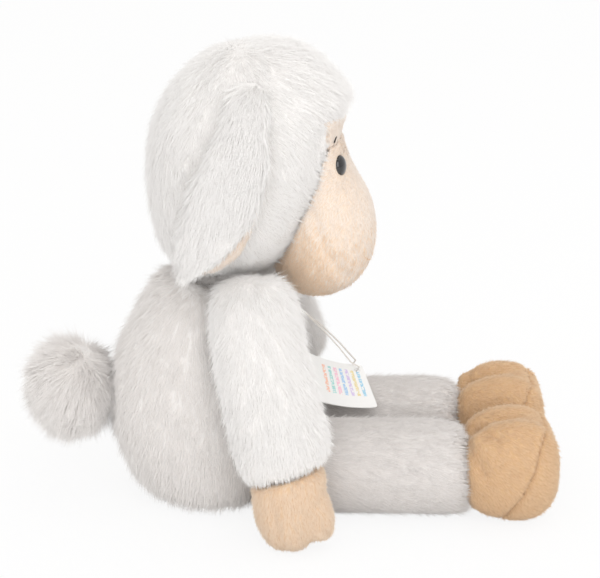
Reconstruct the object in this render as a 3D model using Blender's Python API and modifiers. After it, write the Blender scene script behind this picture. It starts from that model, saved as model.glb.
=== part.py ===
"""Plush sheep, seated, at real size. Metres, +Z up, +X the way the sheep faces, +Y its left.

The origin is on the flat underside of the seat. Every stuffed piece is a swollen form: rings of
named size are lofted into a coarse cage, which Subdivision Surface rounds, and the smaller piece is
cut by the larger one that it is sewn to. Moving pieces meet in balls, dished seats and turned
shoulders that are round about the joint's own axis.
"""

import math

import bmesh
import bpy
from mathutils import Matrix, Vector
from mathutils.bvhtree import BVHTree

for old in list(bpy.data.objects):
    bpy.data.objects.remove(old, do_unlink=True)

# Clearances and cuts
FABRIC_GAP = 0.0003
SWING_GAP = 0.0006
FLOOR_CUT = 0.0005
OVERRUN = 0.02
OUTSIDE = 0.2
FLOOR_REACH = 0.4

# Body
BODY_HEIGHT = 0.146
BODY_DEPTH = 0.125
BODY_WIDTH = 0.122

# Neck
NECK_RADIUS = 0.024
NECK_SUNK = 0.018
NECK_HEIGHT = BODY_HEIGHT - NECK_SUNK

# Head of wool, and the face that fills its front
HEAD_STAND_OFF = 0.0005
HEAD_BOTTOM = BODY_HEIGHT + HEAD_STAND_OFF
HEAD_HEIGHT = 0.140
HEAD_DEPTH = 0.116
HEAD_WIDTH = 0.124
HEAD_FORWARD = 0.012
CHIN_DROP = 0.016
FACE_BOTTOM = HEAD_BOTTOM - CHIN_DROP
FACE_HEIGHT_SHARE = 0.8286
FACE_HEIGHT = HEAD_HEIGHT * FACE_HEIGHT_SHARE
FACE_DEPTH = 0.064
FACE_WIDTH = 0.074
FACE_FORWARD = 0.061

# Eyes: a dome on a stem, held by a lock washer inside the face
EYE_DIAMETER = 0.0128
EYE_BULGE = 0.0036
EYE_SUNK = 0.0008
EYE_AHEAD_SHARE = 0.6
EYE_SPACING = 0.044
EYE_UP_SHARE = 0.7284
EYE_HEIGHT = FACE_BOTTOM + FACE_HEIGHT * EYE_UP_SHARE
EYE_STEM_RADIUS = 0.0020
EYE_STEM_LENGTH = 0.0125
WASHER_RADIUS = 0.0055
WASHER_THICKNESS = 0.0016
WASHER_DEPTH = 0.0065

# Stitches
BROW_THREAD = 0.0009
BROW_LENGTH = 0.0040
BROW_RISE = 0.0027
BROW_UP_SHARE = 0.862
BROW_HEIGHT = FACE_BOTTOM + FACE_HEIGHT * BROW_UP_SHARE
MOUTH_THREAD = 0.0008
MOUTH_UP_SHARE = 0.237
MOUTH_HEIGHT = FACE_BOTTOM + FACE_HEIGHT * MOUTH_UP_SHARE
MOUTH_WIDTH = 0.040
MOUTH_DROP = 0.006

# Ears
EAR_LENGTH_SHARE = 0.8
EAR_LENGTH = HEAD_HEIGHT * EAR_LENGTH_SHARE
EAR_WIDTH = 0.048
EAR_THICKNESS = 0.013
EAR_PIVOT_SIDE_SHARE = 0.2984
EAR_PIVOT_SIDE = HEAD_WIDTH * EAR_PIVOT_SIDE_SHARE
EAR_PIVOT_UP_SHARE = 0.8822
EAR_PIVOT_HEIGHT = HEAD_BOTTOM + HEAD_HEIGHT * EAR_PIVOT_UP_SHARE
EAR_LINING_THICKNESS = 0.0036
EAR_LIFT_DEG = 70

# Arms and hands
SHOULDER_FORWARD = 0.018
SHOULDER_SUNK = 0.015
SHOULDER_HEIGHT = BODY_HEIGHT - SHOULDER_SUNK
SHOULDER_SIDE = 0.0330
ARM_CLEAR_SIDE = 0.0680
ARM_CLEAR_RADIUS = 0.074
ARM_WIDTH = 0.058
WRIST_HEIGHT = 0.046
ARM_DROP = SHOULDER_HEIGHT + ARM_WIDTH / 2 - WRIST_HEIGHT
ARM_THICKNESS = 0.044
ARM_SIDE = 0.088
HAND_HEIGHT = 0.056
HAND_WIDTH = 0.046
HAND_THICKNESS = 0.038
HAND_FORWARD = 0.0385
TOE_LIFT = 0.006

# Legs and feet
HIP_FORWARD = 0.046
HIP_SIDE = 0.033
LEG_RADIUS = 0.0297
LEG_LENGTH = 0.102
LEG_SPLAY = 0.004
LEG_DOWN_DEG = 80
FOOT_LENGTH = 0.0525
FOOT_HEIGHT = 0.066
FOOT_WIDTH = 0.060
TOE_WIDTH = 0.036
SOLE_RADIUS = 0.075
SOLE_CENTRE_HEIGHT = 0.058
SOLE_THICKNESS = 0.008
SOLE_OUTWARD = 0.0017

# Tail
TAIL_LENGTH = 0.054
TAIL_DIAMETER = 0.067
TAIL_HEIGHT = 0.068
TAIL_BACK_SHARE = 0.764
TAIL_BACK = BODY_DEPTH * TAIL_BACK_SHARE
TAIL_PIVOT_SHARE = 0.56
TAIL_PIVOT_BACK = BODY_DEPTH * TAIL_PIVOT_SHARE
TAIL_ROOT_RADIUS = 0.014
TAIL_WAG_DEG = 15

# Hang tag and its loop
CARD_THICKNESS = 0.0006
CARD_LENGTH = 0.044
CARD_WIDTH = 0.041
CARD_CORNER_FORWARD_SHARE = 0.68
CARD_CORNER_FORWARD = BODY_DEPTH * CARD_CORNER_FORWARD_SHARE
CARD_CORNER_SIDE = 0.038
CARD_CORNER_HEIGHT = 0.0665
CARD_HOLE_RADIUS = 0.0019
CARD_HOLE_INSET = 0.0055
LOOP_THREAD = 0.0010
LOOP_SPREAD = 0.0024
LOOP_ROOT_FORWARD_SHARE = 0.3008
LOOP_ROOT_FORWARD = BODY_DEPTH * LOOP_ROOT_FORWARD_SHARE
LOOP_ROOT_UP_SHARE = 0.8493
LOOP_ROOT_HEIGHT = BODY_HEIGHT * LOOP_ROOT_UP_SHARE
LOOP_BOW = 0.004

# Sides round each form's rings
BODY_SIDES = 10
HEAD_SIDES = 10
LIMB_SIDES = 8
ROUND_SIDES = 16
EYE_STEPS = 4
BALL_ROUNDS = 3
BALL_TURN_DEG = 7

# How far one round of Subdivision Surface draws in a ring of the cage
CAGE_SHARES = (0.75, 0.25)

# Rings of each form, low end to high end. Body: height, forward place, depth and width as shares of
# the body's own sizes, and the slope of the ring's plane.
BODY_SHARES = (
    (0.000, -0.062, 0.52, 0.70, 0.00),
    (0.035, -0.070, 0.72, 0.82, 0.00),
    (0.110, -0.072, 0.86, 0.91, 0.00),
    (0.220, -0.080, 0.95, 0.965, 0.00),
    (0.375, -0.096, 1.00, 1.00, 0.00),
    (0.515, -0.100, 0.99, 0.985, 0.00),
    (0.650, -0.088, 0.935, 0.92, 0.00),
    (0.775, -0.056, 0.825, 0.84, -0.06),
    (0.885, -0.036, 0.70, 0.74, -0.14),
    (0.955, -0.036, 0.55, 0.60, -0.20),
    (0.985, -0.036, 0.34, 0.38, -0.20),
)
# Head: height, forward place, depth and width as shares of the head's own sizes.
HEAD_SHARES = (
    (0.000, -0.10, 0.34, 0.40),
    (0.045, -0.10, 0.57, 0.62),
    (0.110, -0.09, 0.70, 0.80),
    (0.190, -0.08, 0.79, 0.91),
    (0.300, -0.06, 0.88, 0.985),
    (0.430, -0.02, 0.985, 1.00),
    (0.580, 0.00, 1.00, 0.975),
    (0.690, 0.04, 0.985, 0.93),
    (0.775, 0.09, 0.985, 0.84),
    (0.860, 0.08, 0.80, 0.70),
    (0.940, 0.09, 0.58, 0.52),
    (0.990, 0.09, 0.32, 0.30),
)
FACE_SHARES = (
    (0.000, -0.09, 0.26, 0.30),
    (0.035, -0.09, 0.60, 0.55),
    (0.100, -0.05, 0.80, 0.78),
    (0.190, -0.03, 0.94, 0.94),
    (0.310, -0.01, 1.00, 1.01),
    (0.430, -0.02, 0.98, 1.00),
    (0.530, -0.03, 0.90, 0.96),
    (0.615, -0.07, 0.78, 0.94),
    (0.720, -0.12, 0.66, 0.96),
    (0.840, -0.15, 0.62, 1.00),
    (1.000, -0.16, 0.52, 0.80),
)
# Ear: how far down and out the centre line runs, how far forward, width and thickness.
EAR_SHARES = (
    (-0.010, 0.055, 0.35, 0.38, 0.34),
    (0.030, 0.115, 0.35, 0.50, 0.62),
    (0.130, 0.195, 0.32, 0.56, 0.90),
    (0.270, 0.265, 0.27, 0.72, 1.00),
    (0.430, 0.300, 0.16, 0.96, 1.00),
    (0.600, 0.312, 0.03, 0.98, 1.00),
    (0.760, 0.312, -0.10, 0.80, 0.95),
    (0.890, 0.300, -0.25, 0.56, 0.80),
    (0.960, 0.290, -0.36, 0.30, 0.45),
)
# Its lining: how far ahead of the centre line, and its width as a share of the ear's.
EAR_LINING_FORWARD_SHARES = (0.0, 0.0, 0.0, 0.01, 0.02, 0.05, 0.14, 0.18, 0.16)
EAR_LINING_WIDE_SHARES = (0.8, 0.8, 0.8, 0.8, 0.8, 0.84, 0.92, 0.94, 0.92)
EAR_LINING_INSET_SHARE = 0.36
# Arm: height, forward and side places, width and thickness, and slope of the hem.
ARM_SHARES = (
    (0.000, 0.345, 0.995, 0.84, 0.72, 0.34),
    (0.070, 0.330, 0.990, 0.98, 0.92, 0.34),
    (0.230, 0.270, 0.965, 1.02, 1.00, 0.20),
    (0.440, 0.145, 0.890, 1.00, 1.02, 0.08),
    (0.640, 0.060, 0.710, 1.00, 1.21, 0.00),
    (0.820, 0.020, 0.610, 0.95, 1.14, 0.00),
    (0.930, 0.000, 0.605, 0.80, 0.74, 0.00),
    (0.985, 0.000, 0.590, 0.46, 0.36, 0.00),
)
ARM_CONE_SHARES = ((0.0, 0.0), (0.22, 0.10), (0.50, 0.46), (0.80, 0.86), (1.0, 1.0), (1.35, 1.0))
HAND_SHARES = (
    (0.000, 0.03, 0.28, 0.34),
    (0.060, 0.02, 0.56, 0.66),
    (0.240, 0.00, 0.82, 0.94),
    (0.500, 0.00, 0.96, 1.02),
    (0.780, 0.02, 1.00, 0.98),
    (1.000, 0.04, 0.90, 0.86),
)
HAND_TOE_SHARES = (
    (0.000, 0.40, 0.22, 0.30),
    (0.070, 0.40, 0.42, 0.58),
    (0.300, 0.37, 0.50, 0.74),
    (0.600, 0.30, 0.44, 0.72),
    (0.850, 0.22, 0.24, 0.42),
)
# Leg: how far along from the hip, and the radius. The first five round off the ball at the hip.
LEG_SHARES = ((0.0, 1.00), (0.16, 1.00), (0.38, 1.00), (0.68, 1.01), (0.93, 1.00), (0.985, 0.87))
HIP_BALL_DEG = (76, 50, 24)
HIP_BALL_SHARE = 1.02
TOE_SHARES = (
    (-0.06, 0.62, 0.62),
    (0.10, 0.80, 0.84),
    (0.36, 0.97, 1.00),
    (0.62, 1.00, 1.02),
    (0.84, 0.88, 0.90),
    (0.97, 0.60, 0.58),
    (1.00, 0.30, 0.28),
)
INNER_TOE_SHARES = (
    (-0.055, 0.61, 0.60),
    (0.085, 0.79, 0.82),
    (0.34, 0.955, 0.985),
    (0.605, 0.985, 1.00),
    (0.825, 0.865, 0.88),
    (0.955, 0.59, 0.57),
    (0.99, 0.29, 0.27),
)
# The boot's core joins the two toes at the front, so that the cleft fades out before the sole.
BOOT_SHARES = (
    (0.20, 0.34, 0.30),
    (0.34, 0.66, 0.58),
    (0.58, 0.90, 0.80),
    (0.80, 0.90, 0.88),
    (0.94, 0.66, 0.66),
    (0.98, 0.34, 0.36),
)
TAIL_SHARES = (
    (0.00, 0.30), (0.09, 0.62), (0.28, 0.93), (0.52, 1.00), (0.76, 0.88), (0.93, 0.56), (1.00, 0.26),
)
HIP_SWEEP_SHARE = 0.9
BROW_SHARES = (-0.5, 0.0, 0.5)
LOOP_SHARES = (0.0, 0.25, 0.5, 0.75, 0.92)
THREAD_MERGE_SHARE = 0.02
# The card's other corners from its far front corner, as shares of its length and width.
CARD_LEFT_SHARES = (-0.80, -0.46, 0.375)
CARD_NEAR_SHARES = (0.22, -0.92, -0.33)
CARD_NEAR_LEFT_SHARES = (0.10, -0.92, -0.40)
CARD_SAG_SHARE = 0.05
CARD_GRID = 6
MOUTH_POINTS = 9

SHEEP = bpy.data.collections.new("plush_sheep")
CUTTERS = bpy.data.collections.new("cutters")
bpy.context.scene.collection.children.link(SHEEP)
bpy.context.scene.collection.children.link(CUTTERS)


def material(name, colour, roughness):
    made = bpy.data.materials.new(name)
    made.use_nodes = True
    shader = made.node_tree.nodes["Principled BSDF"]
    shader.inputs["Base Color"].default_value = (*colour, 1)
    shader.inputs["Roughness"].default_value = roughness
    shader.inputs["Metallic"].default_value = 0
    return made


WOOL = material("white_wool", (0.86, 0.84, 0.82), 0.95)
PLUSH = material("tan_plush", (0.86, 0.66, 0.44), 0.9)
EYE_PLASTIC = material("black_eye_plastic", (0.01, 0.01, 0.012), 0.12)
CLEAR_PLASTIC = material("clear_plastic", (0.85, 0.84, 0.82), 0.2)
BLACK_THREAD = material("black_thread", (0.02, 0.02, 0.022), 0.7)
TAN_THREAD = material("tan_thread", (0.62, 0.36, 0.18), 0.7)
CARD = material("white_card", (0.9, 0.9, 0.89), 0.5)


def add_object(name, mesh, finish, collection):
    made = bpy.data.objects.new(name, mesh)
    collection.objects.link(made)
    if finish:
        made.data.materials.append(finish)
    if collection is CUTTERS:
        made.hide_render = True
        made.display_type = "WIRE"
    return made


def carry(verts, old, new):
    """Takes a ring of points from one frame (centre, half-axis, half-axis) to the next."""
    for vert in verts:
        offset = vert.co - old[0]
        along = offset.dot(old[1]) / old[1].length_squared
        across = offset.dot(old[2]) / old[2].length_squared
        vert.co = new[0] + new[1] * along + new[2] * across


def drawn_out(bm, top, first):
    """Extrudes the end face and gives the new one. Only the first face stays, as the low end."""
    grown = bmesh.ops.extrude_face_region(bm, geom=[top])
    if not first:
        bmesh.ops.delete(bm, geom=[top], context="FACES_ONLY")
    return next(item for item in grown["geom"] if isinstance(item, bmesh.types.BMFace))


def swollen_form(name, rings, sides, finish=None, collection=SHEEP, rounds=1):
    """A stuffed form: rings lofted into a cage, then rounded. The cage stands out by as much as the
    rounding draws it in."""
    kept, drawn_in = CAGE_SHARES
    stand_out = 1 / (kept + drawn_in * math.cos(math.tau / sides))
    wide = [(Vector(c), Vector(u) * stand_out, Vector(v) * stand_out) for c, u, v in rings]
    bm = bmesh.new()
    bmesh.ops.create_circle(bm, cap_ends=True, radius=1, segments=sides)
    bm.faces.ensure_lookup_table()
    top = bm.faces[0]
    last = (Vector((0, 0, 0)), Vector((1, 0, 0)), Vector((0, 1, 0)))
    carry(top.verts, last, wide[0])
    for previous, ring in zip(wide, wide[1:]):
        top = drawn_out(bm, top, previous is wide[0])
        carry(top.verts, previous, ring)
    bmesh.ops.recalc_face_normals(bm, faces=bm.faces[:])
    mesh = bpy.data.meshes.new(name)
    bm.to_mesh(mesh)
    bm.free()
    mesh.shade_smooth()
    made = add_object(name, mesh, finish, collection)
    rounding = made.modifiers.new("rounding", "SUBSURF")
    rounding.levels = rounds
    rounding.render_levels = rounds
    return made


def turned_form(name, profile, centre, direction, finish=None, collection=CUTTERS, sides=ROUND_SIDES):
    """A solid of revolution. The profile is (radius, place along the axis), and closes on the axis."""
    bm = bmesh.new()
    verts = [bm.verts.new((radius, 0, along)) for radius, along in profile]
    edges = [bm.edges.new(pair) for pair in zip(verts, verts[1:])]
    bmesh.ops.spin(
        bm, geom=verts + edges, cent=(0, 0, 0), axis=(0, 0, 1), angle=math.tau, steps=sides,
        use_merge=True, use_duplicate=False,
    )
    bmesh.ops.remove_doubles(bm, verts=bm.verts[:], dist=FABRIC_GAP / ROUND_SIDES)
    bmesh.ops.recalc_face_normals(bm, faces=bm.faces[:])
    turn = Vector((0, 0, 1)).rotation_difference(Vector(direction)).to_matrix().to_4x4()
    bmesh.ops.transform(bm, matrix=Matrix.Translation(Vector(centre)) @ turn, verts=bm.verts[:])
    mesh = bpy.data.meshes.new(name)
    bm.to_mesh(mesh)
    bm.free()
    mesh.shade_smooth()
    return add_object(name, mesh, finish, collection)


def ball(name, centre, radius, finish=None, collection=CUTTERS):
    """A faceted ball, turned so that its edges keep off the mirror plane's edges in a Boolean."""
    bm = bmesh.new()
    bmesh.ops.create_icosphere(bm, subdivisions=BALL_ROUNDS, radius=radius)
    turn = Matrix.Rotation(math.radians(BALL_TURN_DEG), 4, "X") @ Matrix.Rotation(
        math.radians(BALL_TURN_DEG), 4, "Z"
    )
    bmesh.ops.transform(bm, matrix=Matrix.Translation(Vector(centre)) @ turn, verts=bm.verts[:])
    mesh = bpy.data.meshes.new(name)
    bm.to_mesh(mesh)
    bm.free()
    mesh.shade_smooth()
    return add_object(name, mesh, finish, collection)


def box(name, low, high):
    bm = bmesh.new()
    bmesh.ops.create_cube(bm, size=1)
    size = Vector(high) - Vector(low)
    bmesh.ops.scale(bm, vec=size, verts=bm.verts[:])
    bmesh.ops.translate(bm, vec=Vector(low) + size / 2, verts=bm.verts[:])
    mesh = bpy.data.meshes.new(name)
    bm.to_mesh(mesh)
    bm.free()
    return add_object(name, mesh, None, CUTTERS)


def boolean(target, tool, operation="DIFFERENCE", solver="EXACT"):
    made = target.modifiers.new(tool.name, "BOOLEAN")
    made.object = tool
    made.operation = operation
    made.solver = solver


def evaluated_mesh(thing):
    graph = bpy.context.evaluated_depsgraph_get()
    graph.update()
    return bpy.data.meshes.new_from_object(thing.evaluated_get(graph))


def swelled_copy(thing, gap, name, pivot=None, axis="Y", degrees=0):
    """A cutter: the thing as it is now, grown all over by the gap and turned about a joint."""
    mesh = evaluated_mesh(thing)
    made = add_object(name, mesh, None, CUTTERS)
    grow = made.modifiers.new("gap", "DISPLACE")
    grow.strength = gap
    grow.mid_level = 0
    if pivot is not None:
        place = Matrix.Translation(Vector(pivot))
        made.matrix_world = place @ Matrix.Rotation(math.radians(degrees), 4, axis) @ place.inverted()
    return made


def joint_empty(name, place):
    made = bpy.data.objects.new(name, None)
    made.location = place
    SHEEP.objects.link(made)
    return made


def hang(things, empty):
    """Parents pieces to a joint's empty and leaves them where they are."""
    held = Matrix.Translation(empty.location).inverted()
    for thing in things:
        thing.parent = empty
        thing.matrix_parent_inverse = held


# Forms before their cuts
def body_form():
    rings = []
    for height, forward, depth, width, slope in BODY_SHARES:
        half = depth * BODY_DEPTH / 2
        centre = (forward * BODY_DEPTH, 0, height * (BODY_HEIGHT + FLOOR_CUT) - FLOOR_CUT)
        rings.append((centre, (half, 0, half * slope), (0, width * BODY_WIDTH / 2, 0)))
    return swollen_form("body", rings, BODY_SIDES, WOOL)


def upright_form(name, shares, bottom, height, forward, depth, width, sides, finish):
    rings = []
    for up, ahead, deep, wide in shares:
        centre = (forward + ahead * depth, 0, bottom + up * height)
        rings.append((centre, (deep * depth / 2, 0, 0), (0, wide * width / 2, 0)))
    return swollen_form(name, rings, sides, finish)


def ear_rings(side, thickness, inset, forward_shares, wide_shares):
    rings = []
    places = [
        Vector((
            (ahead + extra) * EAR_WIDTH,
            side * (EAR_PIVOT_SIDE + out * EAR_LENGTH),
            EAR_PIVOT_HEIGHT - down * EAR_LENGTH,
        ))
        for (down, out, ahead, _, _), extra in zip(EAR_SHARES, forward_shares)
    ]
    for index, (_, _, _, wide, thick) in enumerate(EAR_SHARES):
        before = places[max(index - 1, 0)]
        after = places[min(index + 1, len(places) - 1)]
        run = (after - before).normalized()
        outward = Vector((0, run.z, -run.y)).normalized() * -side
        half_width = Vector((wide * wide_shares[index] * EAR_WIDTH / 2, 0, 0))
        rings.append((places[index] - outward * inset, half_width, outward * thick * thickness / 2))
    return rings


def arm_rings(side):
    rings = []
    for up, ahead, out, wide, thick, slope in ARM_SHARES:
        half = wide * ARM_WIDTH / 2
        centre = (SHOULDER_FORWARD + ahead * ARM_WIDTH, side * out * ARM_SIDE, WRIST_HEIGHT + up * ARM_DROP)
        rings.append((centre, (half, 0, half * slope), (0, thick * ARM_THICKNESS / 2, 0)))
    return rings


def hand_rings(side, shares, lift):
    rings = []
    for up, ahead, wide, thick in shares:
        centre = (HAND_FORWARD + ahead * HAND_WIDTH, side * ARM_SIDE, lift + up * (HAND_HEIGHT - lift))
        rings.append((centre, (wide * HAND_WIDTH / 2, 0, 0), (0, thick * HAND_THICKNESS / 2, 0)))
    return rings


def leg_rings(side):
    rings = []
    for degrees in HIP_BALL_DEG:
        angle = math.radians(degrees)
        reach = LEG_RADIUS * HIP_BALL_SHARE
        centre = (HIP_FORWARD - reach * math.sin(angle), side * HIP_SIDE, LEG_RADIUS - FLOOR_CUT)
        radius = reach * math.cos(angle)
        rings.append((centre, (0, radius, 0), (0, 0, radius)))
    for along, thick in LEG_SHARES:
        radius = LEG_RADIUS * thick
        splay = side * (HIP_SIDE + along * LEG_SPLAY)
        centre = (HIP_FORWARD + along * LEG_LENGTH, splay, radius - FLOOR_CUT)
        rings.append((centre, (0, radius, 0), (0, 0, radius)))
    return rings


def foot_rings(side, shares, shift, width):
    rings = []
    middle = side * (HIP_SIDE + LEG_SPLAY + shift)
    for along, tall, wide in shares:
        half = tall * FOOT_HEIGHT / 2
        centre = (HIP_FORWARD + LEG_LENGTH + along * FOOT_LENGTH, middle, FOOT_HEIGHT / 2 - FLOOR_CUT)
        rings.append((centre, (0, wide * width / 2, 0), (0, 0, half)))
    return rings


def arm_cone(radius):
    """How far out the arm's inner side stands at a distance from the shoulder's axis."""
    share = radius / ARM_CLEAR_RADIUS
    for (near, low), (far, high) in zip(ARM_CONE_SHARES, ARM_CONE_SHARES[1:]):
        if share <= far:
            step = (share - near) / (far - near)
            return SHOULDER_SIDE + (low + step * (high - low)) * (ARM_CLEAR_SIDE - SHOULDER_SIDE)
    return ARM_CLEAR_SIDE


def arm_sweep(name, side, shift, outward):
    """The turned space beyond the cone (outward), or the turned block within it."""
    reach = ARM_DROP + ARM_WIDTH
    stops = [far * ARM_CLEAR_RADIUS for far, _ in ARM_CONE_SHARES] + [reach]
    face = [(radius, arm_cone(radius) + shift) for radius in stops]
    cap = ARM_SIDE + ARM_THICKNESS if outward else -ARM_THICKNESS
    profile = face + [(reach, cap), (0, cap)]
    centre = (SHOULDER_FORWARD, 0, SHOULDER_HEIGHT)
    return turned_form(name, profile, centre, (0, side, 0), sides=2 * ROUND_SIDES)


def hip_sweep(name, side, gap):
    """The room that the leg sweeps from rest to hanging: a keyhole about the hip's axis, lofted across
    the leg so that it shrinks as the ball's section does."""
    radius = LEG_RADIUS + gap
    down = math.radians(LEG_DOWN_DEG)
    hanging = Vector((math.cos(down), 0, -math.sin(down)))
    outline = [Vector((LEG_LENGTH, 0, radius))]
    for step in range(ROUND_SIDES):
        angle = math.pi / 2 + (math.pi - down) * step / (ROUND_SIDES - 1)
        outline.append(Vector((math.cos(angle), 0, math.sin(angle))) * radius)
    outline.append(outline[-1] + hanging * LEG_LENGTH)
    outline.append(Vector((LEG_LENGTH, 0, -LEG_LENGTH)))
    hip = Vector((HIP_FORWARD, side * HIP_SIDE, LEG_RADIUS - FLOOR_CUT))
    bm = bmesh.new()
    ring = [bm.verts.new(point) for point in outline]
    top = bm.faces.new(ring)
    steps = ROUND_SIDES // 2
    last = None
    for step in range(steps + 1):
        angle = math.pi * (step / steps - 1 / 2) * HIP_SWEEP_SHARE
        frame = (
            hip + Vector((0, math.sin(angle) * radius, 0)),
            Vector((math.cos(angle), 0, 0)),
            Vector((0, 0, math.cos(angle))),
        )
        if last is not None:
            top = drawn_out(bm, top, step == 1)
        carry(top.verts, last or (Vector(), Vector((1, 0, 0)), Vector((0, 0, 1))), frame)
        last = frame
    bmesh.ops.recalc_face_normals(bm, faces=bm.faces[:])
    mesh = bpy.data.meshes.new(name)
    bm.to_mesh(mesh)
    bm.free()
    return add_object(name, mesh, None, CUTTERS)


def on_surface(form, start, toward, lift):
    """The point where a line meets a form, stood off by a lift along the surface's normal."""
    mesh = evaluated_mesh(form)
    bm = bmesh.new()
    bm.from_mesh(mesh)
    hit, normal, _, _ = BVHTree.FromBMesh(bm).ray_cast(Vector(start), Vector(toward))
    bm.free()
    bpy.data.meshes.remove(mesh)
    return hit + normal * lift, normal


def thread(name, points, diameter, finish, closed=False):
    """A thread or filament: a curve with a round section, made a closed mesh."""
    curve = bpy.data.curves.new(name, "CURVE")
    curve.dimensions = "3D"
    curve.bevel_depth = diameter / 2
    curve.bevel_resolution = 1
    curve.use_fill_caps = not closed
    spline = curve.splines.new("POLY")
    spline.points.add(len(points) - 1)
    for slot, point in zip(spline.points, points):
        slot.co = (*point, 1)
    spline.use_cyclic_u = closed
    route = bpy.data.objects.new(name + "_route", curve)
    SHEEP.objects.link(route)
    mesh = evaluated_mesh(route)
    bpy.data.objects.remove(route, do_unlink=True)
    bm = bmesh.new()
    bm.from_mesh(mesh)
    bmesh.ops.remove_doubles(bm, verts=bm.verts[:], dist=diameter * THREAD_MERGE_SHARE)
    bmesh.ops.recalc_face_normals(bm, faces=bm.faces[:])
    bm.to_mesh(mesh)
    bm.free()
    mesh.shade_smooth()
    return add_object(name, mesh, finish, SHEEP)


floor_cutter = box("floor_cutter", (-FLOOR_REACH, -FLOOR_REACH, -OVERRUN), (FLOOR_REACH, FLOOR_REACH, 0))

# Body, with its seat cut flat
body = body_form()
body_room = swelled_copy(body, FABRIC_GAP, "body_room")
boolean(body, floor_cutter)

# Neck: a stuffed ball that the body and the head both close round
neck_centre = (0, 0, NECK_HEIGHT)
neck = ball("neck", neck_centre, NECK_RADIUS, WOOL, SHEEP)
neck_socket = ball("neck_socket", neck_centre, NECK_RADIUS + 2 * FABRIC_GAP)
boolean(body, neck_socket)

# Head hood, with the forelock over the forehead
head = upright_form(
    "head", HEAD_SHARES, HEAD_BOTTOM, HEAD_HEIGHT, HEAD_FORWARD, HEAD_DEPTH, HEAD_WIDTH, HEAD_SIDES, WOOL
)
head_room = swelled_copy(head, FABRIC_GAP, "head_room")
boolean(head, neck_socket)

# Face: forehead and muzzle, cut by the hood that it is sewn to
face = upright_form(
    "face", FACE_SHARES, FACE_BOTTOM, FACE_HEIGHT, FACE_FORWARD, FACE_DEPTH, FACE_WIDTH, HEAD_SIDES, PLUSH
)
bare_face = swelled_copy(face, 0, "bare_face")
boolean(face, head_room)
boolean(face, neck_socket)

turn_empty = joint_empty("head_turn_axis", neck_centre)
nod_empty = joint_empty("head_nod_axis", neck_centre)
hang([neck, nod_empty], turn_empty)
head_pieces = [head, face]

for side_name, side in (("left", 1), ("right", -1)):
    # Eye: dome and stem in one; the stem goes through the face and carries a lock washer inside it
    start = (OUTSIDE, side * EYE_SPACING / 2, EYE_HEIGHT)
    seat, normal = on_surface(bare_face, start, (-1, 0, 0), -EYE_SUNK)
    normal = (normal + Vector((EYE_AHEAD_SHARE, 0, 0))).normalized()
    rim = EYE_DIAMETER / 2
    angles = [math.pi / 2 * (1 - step / EYE_STEPS) for step in range(1, EYE_STEPS + 1)]
    dome = [(0, EYE_BULGE)] + [(rim * math.cos(a), EYE_BULGE * math.sin(a)) for a in angles]
    stem = [(EYE_STEM_RADIUS, 0), (EYE_STEM_RADIUS, -EYE_STEM_LENGTH), (0, -EYE_STEM_LENGTH)]
    eye = turned_form("eye_" + side_name, dome + stem, seat, normal, EYE_PLASTIC, SHEEP)
    washer_top = -WASHER_DEPTH
    washer_low = -WASHER_DEPTH - WASHER_THICKNESS
    hole = EYE_STEM_RADIUS + FABRIC_GAP
    edge = WASHER_RADIUS
    ring = [(hole, washer_top), (edge, washer_top), (edge, washer_low), (hole, washer_low)]
    washer = turned_form("eye_washer_" + side_name, ring + ring[:1], seat, normal, CLEAR_PLASTIC, SHEEP)
    pocket = edge + FABRIC_GAP
    bore = turned_form(
        "eye_bore_" + side_name,
        [
            (0, OVERRUN),
            (hole, OVERRUN),
            (hole, washer_top + FABRIC_GAP),
            (pocket, washer_top + FABRIC_GAP),
            (pocket, washer_low - FABRIC_GAP),
            (hole, washer_low - FABRIC_GAP),
            (hole, -EYE_STEM_LENGTH - FABRIC_GAP),
            (0, -EYE_STEM_LENGTH - FABRIC_GAP),
        ],
        seat,
        normal,
    )
    flat = turned_form(
        "eye_flat_" + side_name,
        [(0, OVERRUN), (rim + FABRIC_GAP, OVERRUN), (rim + FABRIC_GAP, -FABRIC_GAP), (0, -FABRIC_GAP)],
        seat,
        normal,
    )
    boolean(face, flat)
    boolean(face, bore)
    boolean(head, bore)

    # Brow: one stitch of black thread over the eye
    brow = []
    for share in BROW_SHARES:
        start = (OUTSIDE, side * (EYE_SPACING / 2 - share * BROW_LENGTH), BROW_HEIGHT + share * BROW_RISE)
        point, _ = on_surface(bare_face, start, (-1, 0, 0), BROW_THREAD / 2 + FABRIC_GAP)
        brow.append(point)
    brow_stitch = thread("brow_" + side_name, brow, BROW_THREAD, BLACK_THREAD)
    head_pieces += [eye, washer, brow_stitch]

# Mouth: one line of tan thread across the front of the muzzle
mouth = []
for step in range(MOUTH_POINTS):
    across = 2 * step / (MOUTH_POINTS - 1) - 1
    start = (OUTSIDE, across * MOUTH_WIDTH / 2, MOUTH_HEIGHT - MOUTH_DROP * (1 - across * across))
    point, _ = on_surface(bare_face, start, (-1, 0, 0), MOUTH_THREAD / 2 + FABRIC_GAP)
    mouth.append(point)
mouth_stitch = thread("mouth_stitch", mouth, MOUTH_THREAD, TAN_THREAD)
head_pieces.append(mouth_stitch)

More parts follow.
